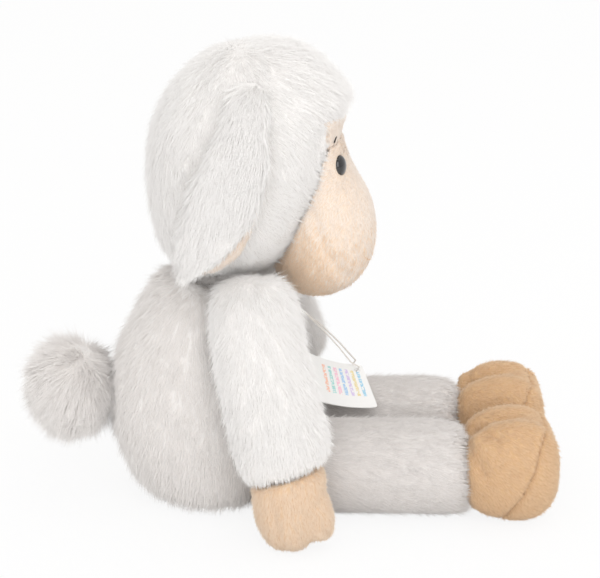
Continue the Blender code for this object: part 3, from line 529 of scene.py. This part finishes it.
# Eyes. Black moulded plastic domes with a thin rim, pushed through the face on their stems.
gloss, nodes, links = node_tree("eye_plastic")
shader = nodes["Principled BSDF"]
place = nodes.new("ShaderNodeTexCoord")
swirl = nodes.new("ShaderNodeTexNoise")
swirl.inputs["Scale"].default_value = 400
tint = nodes.new("ShaderNodeValToRGB")
tint.color_ramp.elements[0].color = (0.006, 0.006, 0.007, 1)
tint.color_ramp.elements[1].color = (0.016, 0.014, 0.014, 1)
links.new(place.outputs["Object"], swirl.inputs["Vector"])
links.new(swirl.outputs["Fac"], tint.inputs["Fac"])
links.new(tint.outputs["Color"], shader.inputs["Base Color"])
shader.inputs["Roughness"].default_value = 0.09
shader.inputs["Coat Weight"].default_value = 0.6
shader.inputs["Coat Roughness"].default_value = 0.04
for side, way in (("left", 1), ("right", -1)):
    bm = bmesh.new()
    rim, bulge, edge, sunk = 0.0064, 0.0036, 0.0003, 0.0008
    stem_radius, stem_end = 0.002, -0.006
    arc = [(rim * math.cos(a), bulge * math.sin(a)) for a in np.linspace(0, math.pi / 2, 12)]
    outline = [(0, stem_end), (stem_radius, stem_end), (stem_radius, -sunk), (rim - edge, -sunk), (rim, -edge)] + arc
    verts = [bm.verts.new((radius, 0, height)) for radius, height in outline]
    edges = [bm.edges.new(pair) for pair in zip(verts, verts[1:])]
    bmesh.ops.spin(
        bm, geom=verts + edges, cent=(0, 0, 0), axis=(0, 0, 1), angle=math.tau, steps=40, use_merge=True
    )
    bmesh.ops.remove_doubles(bm, verts=bm.verts[:], dist=1e-5)
    bmesh.ops.recalc_face_normals(bm, faces=bm.faces[:])
    facing = Vector((0.9377, way * 0.3204, 0.1341))
    seat = Matrix.Translation(Vector((0.06897, way * 0.02161, 0.21483)))
    turn = Vector((0, 0, 1)).rotation_difference(facing).to_matrix().to_4x4()
    bmesh.ops.transform(bm, matrix=seat @ turn, verts=bm.verts[:])
    mesh = bpy.data.meshes.new("eye_dome_" + side)
    bm.to_mesh(mesh)
    bm.free()
    mesh.shade_smooth()
    eye = bpy.data.objects.new("eye_dome_" + side, mesh)
    scene.collection.objects.link(eye)
    dress(eye, gloss, "head", "black_eye_plastic", "eye_" + side)

# Washers and stitches. Each eye's stem has a lock washer behind the cloth; the brows are single
# stitches of black embroidery thread, and the mouth is one line of tan thread.


def recolour(node, material):
    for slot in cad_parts[node].material_slots:
        slot.material = material


def thread_material(name, light, dark, twist):
    material, nodes, links = node_tree(name)
    shader = nodes["Principled BSDF"]
    place = nodes.new("ShaderNodeTexCoord")
    plies = nodes.new("ShaderNodeTexWave")
    plies.bands_direction = "DIAGONAL"
    plies.inputs["Scale"].default_value = twist
    plies.inputs["Distortion"].default_value = 1.5
    shade = nodes.new("ShaderNodeValToRGB")
    shade.color_ramp.elements[0].color = (*dark, 1)
    shade.color_ramp.elements[1].color = (*light, 1)
    relief = nodes.new("ShaderNodeBump")
    relief.inputs["Strength"].default_value = 0.5
    relief.inputs["Distance"].default_value = 0.0001
    links.new(place.outputs["Object"], plies.inputs["Vector"])
    links.new(plies.outputs["Fac"], shade.inputs["Fac"])
    # The colour follows the plies' height: darker in the grooves between them, as painted shade.
    links.new(plies.outputs["Fac"], relief.inputs["Height"])
    links.new(shade.outputs["Color"], shader.inputs["Base Color"])
    links.new(relief.outputs["Normal"], shader.inputs["Normal"])
    shader.inputs["Roughness"].default_value = 0.6
    return material


def clear_material(name, light, dark, rough):
    material, nodes, links = node_tree(name)
    shader = nodes["Principled BSDF"]
    place = nodes.new("ShaderNodeTexCoord")
    haze = nodes.new("ShaderNodeTexNoise")
    haze.inputs["Scale"].default_value = 300
    shade = nodes.new("ShaderNodeValToRGB")
    shade.color_ramp.elements[0].color = (*dark, 1)
    shade.color_ramp.elements[1].color = (*light, 1)
    links.new(place.outputs["Object"], haze.inputs["Vector"])
    links.new(haze.outputs["Fac"], shade.inputs["Fac"])
    links.new(shade.outputs["Color"], shader.inputs["Base Color"])
    shader.inputs["Roughness"].default_value = rough
    return material


black_thread = thread_material("brow_thread", (0.03, 0.028, 0.03), (0.006, 0.006, 0.007), 900)
tan_thread = thread_material("mouth_thread", (0.84, 0.6, 0.4), (0.7, 0.46, 0.27), 900)
washer_plastic = clear_material("washer_plastic", (0.85, 0.85, 0.84), (0.76, 0.76, 0.75), 0.35)
for side in ("left", "right"):
    recolour("brow_" + side, black_thread)
    recolour("eye_washer_" + side, washer_plastic)
recolour("mouth_stitch", tan_thread)

# Ears. Each is a long flap: white plush outside and a lining of tan velour inside, sewn round the edge.
# They hang from the crown, and the lining shows where the lower front edge curls out.
for side, way in (("left", 1), ("right", -1)):

    def down_ear(root, normal, way=way):
        return np.broadcast_to([-0.35, 0.35 * way, -1.0], root.shape)

    def short_at_curl(root):
        front = np.interp(root[:, 2], (0.159, 0.1695, 0.182), (-0.0165, -0.0006, 0.0067))
        return np.where((root[:, 2] < 0.195) & (root[:, 0] > front - 0.009), 0.45, 1)

    flap = backing("ear_flap_" + side, "ear_" + side, draw_in=0.0008, cell=0.002, soften=2)
    dress(flap, wool_backing, "ear_" + side, "white_wool", "ear_" + side)
    flap_pile = pile(
        "ear_pile_" + side, flap, count=20000, length=0.0120, girth=0.00024, nap=down_ear, stand=0.27,
        gather=0.3, room=surfaces(["arm_" + side]), under=surfaces(["ear_lining_" + side]), seed=61 + way,
        trim=short_at_curl,
    )
    dress(flap_pile, wool, "ear_" + side, "white_wool")
    lining = backing("ear_lining_cloth_" + side, "ear_lining_" + side, draw_in=-0.0008, cell=0.0013, soften=1)
    dress(lining, pale_backing, "ear_" + side, "tan_plush", "ear_lining_" + side)
    lining_pile = pile(
        "ear_lining_pile_" + side, lining, count=7000, length=0.0026, girth=0.00019, nap=down_ear, stand=0.3,
        gather=0, room=[], under=surfaces(["ear_" + side]), seed=71 + way,
        where=lambda spots: spots[:, 2] < 0.19,
    )
    dress(lining_pile, pale_pile, "ear_" + side, "tan_plush")

# Arms. A sleeve of long white plush, sewn to the torso at the shoulder, with a cloven hand of tan
# velour sewn into its hem. The sleeve's pile is shorter at the hem and hangs over the seam.


def down_arm(root, normal):
    return np.broadcast_to([0.15, 0, -1.0], root.shape)


def short_at_hem(root):
    return np.interp(root[:, 2] - 0.25 * root[:, 0], (0.04, 0.065), (0.55, 1))


# The tan backing is darker than the tan pile, as painted shade of the depths of the pile.
tan_backing = backing_material("tan_backing", (0.72, 0.52, 0.34), (0.69, 0.49, 0.31), 1800, 0.1)
tan_pile = pile_material(
    "tan_pile", (0.82, 0.62, 0.44), (0.92, 0.765, 0.61), ((0.9, 0.87, 0.84), (1, 1, 1)), 0.3, 0.8
)
hand_seam = (
    (0.0297, 0.1052, 0.0547),
    (0.0296, 0.1041, 0.0386),
    (0.0313, 0.1051, 0.0263),
    (0.0335, 0.1034, 0.0128),
    (0.0375, 0.0975, 0.0021),
)
for side, way in (("left", 1), ("right", -1)):
    sleeve = backing("sleeve_" + side, "arm_" + side, draw_in=0.0015, cell=0.003, soften=2)
    dress(sleeve, wool_backing, "arm_" + side, "white_wool", "arm_" + side)
    sleeve_pile = pile(
        "sleeve_pile_" + side, sleeve, count=24000, length=0.0110, girth=0.00024, nap=down_arm, stand=0.27,
        gather=0.28, room=surfaces(["body", "head", "leg_" + side, "ear_" + side]),
        under=surfaces(["hand_" + side]), seed=81 + way, trim=short_at_hem,
    )
    dress(sleeve_pile, wool, "arm_" + side, "white_wool")
    hand = backing("hand_cloth_" + side, "hand_" + side, draw_in=0.0006, cell=0.0017, soften=5)
    crease(hand, [(x, y * way, z) for x, y, z in hand_seam], width=0.003, depth=0.0012)
    dress(hand, tan_backing, "arm_" + side, "tan_plush", "hand_" + side)
    hand_pile = pile(
        "hand_pile_" + side, hand, count=22000, length=0.0034, girth=0.00024, nap=down_arm, stand=0.33,
        gather=0.5, room=[], under=surfaces(["arm_" + side]), seed=91 + way,
    )
    dress(hand_pile, tan_pile, "arm_" + side, "tan_plush")

# Legs. Straight tubes of white plush with a shorter pile, sewn on at the hip, and cloven boots of tan
# velour with a separate sole panel at the toes.


def down_leg(root, normal):
    return np.broadcast_to([1.0, 0, -0.25], root.shape)


def long_at_hem(root):
    return np.interp(root[:, 0], (0.130, 0.140), (1, 1.4))


def down_boot(root, normal):
    return np.broadcast_to([1.0, 0, -0.8], root.shape)


# The legs' pile and backing are darker copies of the white wool, as painted shade on the legs.
leg_backing_painted_shade = backing_material("leg_backing_painted_shade", (0.66, 0.63, 0.61), (0.63, 0.605, 0.585), 1500, 0.1)
leg_wool_painted_shade = pile_material(
    "leg_pile", (0.77, 0.74, 0.72), (0.82, 0.795, 0.78), ((0.96, 0.955, 0.95), (1, 1, 1)), 0.1, 0.85
)
# The boots' pile and backing are darker copies of the tan velour, as painted shade on the feet.
boot_backing_painted_shade = backing_material("boot_backing_painted_shade", (0.62, 0.41, 0.23), (0.58, 0.38, 0.21), 1800, 0.1)
boot_pile_painted_shade = pile_material(
    "boot_pile_painted_shade", (0.69, 0.455, 0.255), (0.83, 0.615, 0.41), ((0.9, 0.87, 0.84), (1, 1, 1)), 0.3, 0.8
)
pleats = (
    ((0.1513, -0.0328, 0.0511), (0.1559, -0.0543, 0.0571), (0.1628, -0.0573, 0.0571)),
    ((0.1474, -0.0512, 0.0499), (0.151, -0.0606, 0.043), (0.1552, -0.0634, 0.0358)),
)
for side, way in (("left", 1), ("right", -1)):
    leg = backing("leg_tube_" + side, "leg_" + side, draw_in=0.0005, cell=0.0025, soften=2)
    dress(leg, leg_backing_painted_shade, "leg_" + side, "white_wool", "leg_" + side)
    leg_pile = pile(
        "leg_pile_" + side, leg, count=24000, length=0.0070, girth=0.00022, nap=down_leg, stand=0.25,
        gather=0.1, room=surfaces(["body", "arm_" + side, "hand_" + side, "hang_tag"]),
        under=surfaces(["foot_" + side]), seed=101 + way, trim=long_at_hem,
    )
    dress(leg_pile, leg_wool_painted_shade, "leg_" + side, "white_wool")
    for part_name, node, count in (("boot", "foot_", 20000), ("sole_panel", "sole_", 16000)):
        cloth = backing(part_name + "_" + side, node + side, draw_in=-0.0007, cell=0.0016, soften=5)
        if node == "foot_":
            for path in pleats:
                crease(cloth, [(x, -y * way, z) for x, y, z in path], width=0.0035, depth=0.0022)
        dress(cloth, boot_backing_painted_shade, "leg_" + side, "tan_plush", node + side)
        nap_pile = pile(
            part_name + "_pile_" + side, cloth, count=count, length=0.0033, girth=0.00026, nap=down_boot,
            stand=0.33, gather=0.5, room=[], under=surfaces(["leg_" + side]), seed=111 + way + len(node),
        )
        dress(nap_pile, boot_pile_painted_shade, "leg_" + side, "tan_plush")

# Tail. A pompom of the long plush on a short stuffed root, sewn into the back seam.


def out_of_tail(root, normal):
    return np.broadcast_to([-0.5, 0, -1.0], root.shape)


tail = backing("tail_backing", "tail", draw_in=0.004, cell=0.003, soften=3)
dress(tail, wool_backing, "tail", "white_wool", "tail")
tail_pile = pile(
    "tail_pile", tail, count=22000, length=0.0150, girth=0.00025, nap=out_of_tail, stand=0.4,
    gather=0.45, room=[], under=surfaces(["body"]), seed=121,
)
dress(tail_pile, wool_painted_shade, "tail", "white_wool")

# Hang tag. A card of coated paper with rounded corners, punched at its far front corner. It lies bent
# over the lap. Where the real one is printed, plain broken bars of soft colour stand in.
card_length, card_width, hole_inset = 0.044, 0.041, 0.0055
thick_share, sag_share, hole_share = 0.0135, 0.05, 0.043
card_cells = 12
card_corner = Vector((0.085, 0.038, 0.0665))
card_left = Vector((-0.80, -0.46, 0.375)) * card_length
card_near = Vector((0.22, -0.92, -0.33)) * card_width
card_near_left = Vector((0.10, -0.92, -0.40)) * card_width
card_up = card_left.cross(card_near).normalized()
card_up *= math.copysign(1, card_up.z)
bm = bmesh.new()
bmesh.ops.create_grid(bm, x_segments=2, y_segments=2, size=0.5)
bmesh.ops.translate(bm, verts=bm.verts[:], vec=(0.5, 0.5, 0))
bmesh.ops.dissolve_limit(bm, angle_limit=0.01, verts=bm.verts[:], edges=bm.edges[:])
bmesh.ops.bevel(
    bm, geom=bm.verts[:], offset=0.05, segments=5, profile=0.5, affect="VERTICES", offset_type="OFFSET", material=-1
)
hole_spot = Vector((hole_inset / card_length, hole_inset / card_width, 0))
card_flat = bpy.data.meshes.new("tag_card")
grown = bmesh.ops.extrude_face_region(bm, geom=bm.faces[:])
top_verts = [item for item in grown["geom"] if isinstance(item, bmesh.types.BMVert)]
bmesh.ops.translate(bm, verts=top_verts, vec=(0, 0, thick_share))
bmesh.ops.translate(bm, verts=bm.verts[:], vec=(0, 0, -thick_share / 2))
bmesh.ops.recalc_face_normals(bm, faces=bm.faces[:])
bm.to_mesh(card_flat)
bm.free()
card = bpy.data.objects.new("tag_card", card_flat)
scene.collection.objects.link(card)
bm = bmesh.new()
bmesh.ops.create_cone(bm, cap_ends=True, segments=32, radius1=hole_share, radius2=hole_share, depth=0.2)
bmesh.ops.translate(bm, verts=bm.verts[:], vec=hole_spot)
punch_mesh = bpy.data.meshes.new("punch")
bm.to_mesh(punch_mesh)
bm.free()
punch = bpy.data.objects.new("punch", punch_mesh)
scene.collection.objects.link(punch)
cut = card.modifiers.new("punch", "BOOLEAN")
cut.object = punch
cut.solver = "EXACT"
bpy.context.view_layer.update()
card.data = bpy.data.meshes.new_from_object(card.evaluated_get(bpy.context.evaluated_depsgraph_get()))
card.modifiers.clear()
bpy.data.objects.remove(punch, do_unlink=True)
bm = bmesh.new()
bm.from_mesh(card.data)
for axis in (0, 1):
    for step in range(1, card_cells):
        spot = [0, 0, 0]
        spot[axis] = step / card_cells
        way = [0, 0, 0]
        way[axis] = 1
        bmesh.ops.bisect_plane(
            bm, geom=bm.verts[:] + bm.edges[:] + bm.faces[:], plane_co=spot, plane_no=way, dist=1e-5
        )
bmesh.ops.triangulate(bm, faces=bm.faces[:])
card_map = bm.loops.layers.uv.new("OFBake")
for face_item in bm.faces:
    for corner in face_item.loops:
        corner[card_map].uv = (corner.vert.co.x, corner.vert.co.y)
for vert in bm.verts:
    u, v, lift = vert.co
    sag = Vector((0, 0, -sag_share * card_length * (1 - (2 * u - 1) ** 2)))
    spot = card_corner + card_left * u + card_near.lerp(card_near_left, u) * v + sag
    vert.co = spot + card_up * lift * card_length
bmesh.ops.recalc_face_normals(bm, faces=bm.faces[:])
bm.to_mesh(card.data)
bm.free()
card.data.name = "tag_card"

paper, nodes, links = node_tree("tag_paper")
shader = nodes["Principled BSDF"]
card_uv = nodes.new("ShaderNodeUVMap")
card_uv.uv_map = "OFBake"
split = nodes.new("ShaderNodeSeparateXYZ")
bars = nodes.new("ShaderNodeValToRGB")
bars.color_ramp.interpolation = "CONSTANT"
bare_paper = (0.88, 0.88, 0.87, 1)
bar_width = 0.055
bar_colours = (
    (0.10, (0.35, 0.62, 0.80)),
    (0.20, (0.82, 0.70, 0.38)),
    (0.30, (0.66, 0.55, 0.80)),
    (0.40, (0.40, 0.60, 0.84)),
    (0.50, (0.90, 0.55, 0.66)),
    (0.60, (0.38, 0.70, 0.68)),
    (0.70, (0.92, 0.55, 0.42)),
)
ramp = bars.color_ramp
ramp.elements[0].position = 0
ramp.elements[0].color = bare_paper
ramp.elements[1].position = 0.76
ramp.elements[1].color = bare_paper
for start_at, colour in bar_colours:
    ramp.elements.new(start_at).color = (*colour, 1)
    ramp.elements.new(start_at + bar_width).color = bare_paper
limits = nodes.new("ShaderNodeValToRGB")
limits.color_ramp.interpolation = "CONSTANT"
limits.color_ramp.elements[0].color = (0, 0, 0, 1)
limits.color_ramp.elements[1].position = 0.14
limits.color_ramp.elements[1].color = (1, 1, 1, 1)
limits.color_ramp.elements.new(0.74).color = (0, 0, 0, 1)
breaks = nodes.new("ShaderNodeTexNoise")
breaks.inputs["Scale"].default_value = 26
breaks.inputs["Detail"].default_value = 2
cutoff = nodes.new("ShaderNodeMath")
cutoff.operation = "GREATER_THAN"
cutoff.inputs[1].default_value = 0.45
mask = nodes.new("ShaderNodeMath")
mask.operation = "MULTIPLY"
print_mix = nodes.new("ShaderNodeMix")
print_mix.data_type = "RGBA"
print_mix.inputs["A"].default_value = bare_paper
links.new(card_uv.outputs["UV"], split.inputs[0])
links.new(split.outputs["X"], bars.inputs["Fac"])
links.new(split.outputs["Y"], limits.inputs["Fac"])
links.new(card_uv.outputs["UV"], breaks.inputs["Vector"])
links.new(breaks.outputs["Fac"], cutoff.inputs[0])
links.new(cutoff.outputs["Value"], mask.inputs[0])
links.new(limits.outputs["Color"], mask.inputs[1])
links.new(mask.outputs["Value"], print_mix.inputs["Factor"])
links.new(bars.outputs["Color"], print_mix.inputs["B"])
links.new(print_mix.outputs["Result"], shader.inputs["Base Color"])
shader.inputs["Roughness"].default_value = 0.45
dress(card, paper, "tag", "white_card", "hang_tag")

# Tag loop. A clear plastic filament, drawn from the neck seam through the punched hole and back.
recolour("tag_loop", clear_material("loop_filament", (0.82, 0.79, 0.75), (0.66, 0.62, 0.58), 0.25))

# Floor and light. A plain white table in a bright room, with a large soft light from the camera's side
# and a weak one from above. The camera sees table and room as white, and the table keeps its shadow.
bm = bmesh.new()
bmesh.ops.create_grid(bm, x_segments=1, y_segments=1, size=8)
bmesh.ops.translate(bm, verts=bm.verts[:], vec=(0, 0, -0.0002))
floor_mesh = bpy.data.meshes.new("table_top")
bm.to_mesh(floor_mesh)
bm.free()
table = bpy.data.objects.new("table_top", floor_mesh)
scene.collection.objects.link(table)
table_paint, nodes, links = node_tree("table_paint")
shader = nodes["Principled BSDF"]
place = nodes.new("ShaderNodeTexCoord")
mottle = nodes.new("ShaderNodeTexNoise")
mottle.inputs["Scale"].default_value = 3
shade = nodes.new("ShaderNodeValToRGB")
shade.color_ramp.elements[0].color = (0.9, 0.9, 0.9, 1)
shade.color_ramp.elements[1].color = (0.92, 0.92, 0.92, 1)
links.new(place.outputs["Object"], mottle.inputs["Vector"])
links.new(mottle.outputs["Fac"], shade.inputs["Fac"])
links.new(shade.outputs["Color"], shader.inputs["Base Color"])
shader.inputs["Roughness"].default_value = 0.8
glow = nodes.new("ShaderNodeEmission")
glow.inputs["Strength"].default_value = 1
seen_by = nodes.new("ShaderNodeLightPath")
half = nodes.new("ShaderNodeMath")
half.operation = "MULTIPLY"
half.inputs[1].default_value = 0.88
mixed = nodes.new("ShaderNodeMixShader")
links.new(seen_by.outputs["Is Camera Ray"], half.inputs[0])
links.new(half.outputs["Value"], mixed.inputs["Fac"])
links.new(shader.outputs["BSDF"], mixed.inputs[1])
links.new(glow.outputs["Emission"], mixed.inputs[2])
links.new(mixed.outputs["Shader"], nodes["Material Output"].inputs["Surface"])
table.data.materials.append(table_paint)

world = bpy.data.worlds.new("room")
world.use_nodes = True
scene.world = world
sky_nodes, sky_links = world.node_tree.nodes, world.node_tree.links
room_light = sky_nodes["Background"]
room_light.inputs["Color"].default_value = (1, 0.988, 0.975, 1)
room_light.inputs["Strength"].default_value = 0.885
seen = sky_nodes.new("ShaderNodeBackground")
seen.inputs["Strength"].default_value = 1
rays = sky_nodes.new("ShaderNodeLightPath")
either = sky_nodes.new("ShaderNodeMath")
either.operation = "MAXIMUM"
both = sky_nodes.new("ShaderNodeMath")
both.operation = "MAXIMUM"
blend = sky_nodes.new("ShaderNodeMixShader")
sky_links.new(rays.outputs["Is Camera Ray"], either.inputs[0])
sky_links.new(rays.outputs["Is Glossy Ray"], either.inputs[1])
sky_links.new(either.outputs["Value"], both.inputs[0])
sky_links.new(rays.outputs["Is Transmission Ray"], both.inputs[1])
sky_links.new(both.outputs["Value"], blend.inputs["Fac"])
sky_links.new(room_light.outputs["Background"], blend.inputs[1])
sky_links.new(seen.outputs["Background"], blend.inputs[2])
sky_links.new(blend.outputs["Shader"], sky_nodes["World Output"].inputs["Surface"])
for name, spot, size, power in (
    ("key_light", (0.3, -2.5, 1.6), 2.4, 39),
    ("top_light", (0.9, 0.3, 2.6), 2.0, 5),
):
    lamp_data = bpy.data.lights.new(name, "AREA")
    lamp_data.size = size
    lamp_data.energy = power
    lamp = bpy.data.objects.new(name, lamp_data)
    lamp.location = spot
    lamp.rotation_euler = (Vector((0.03, 0, 0.12)) - Vector(spot)).to_track_quat("-Z", "Y").to_euler()
    scene.collection.objects.link(lamp)
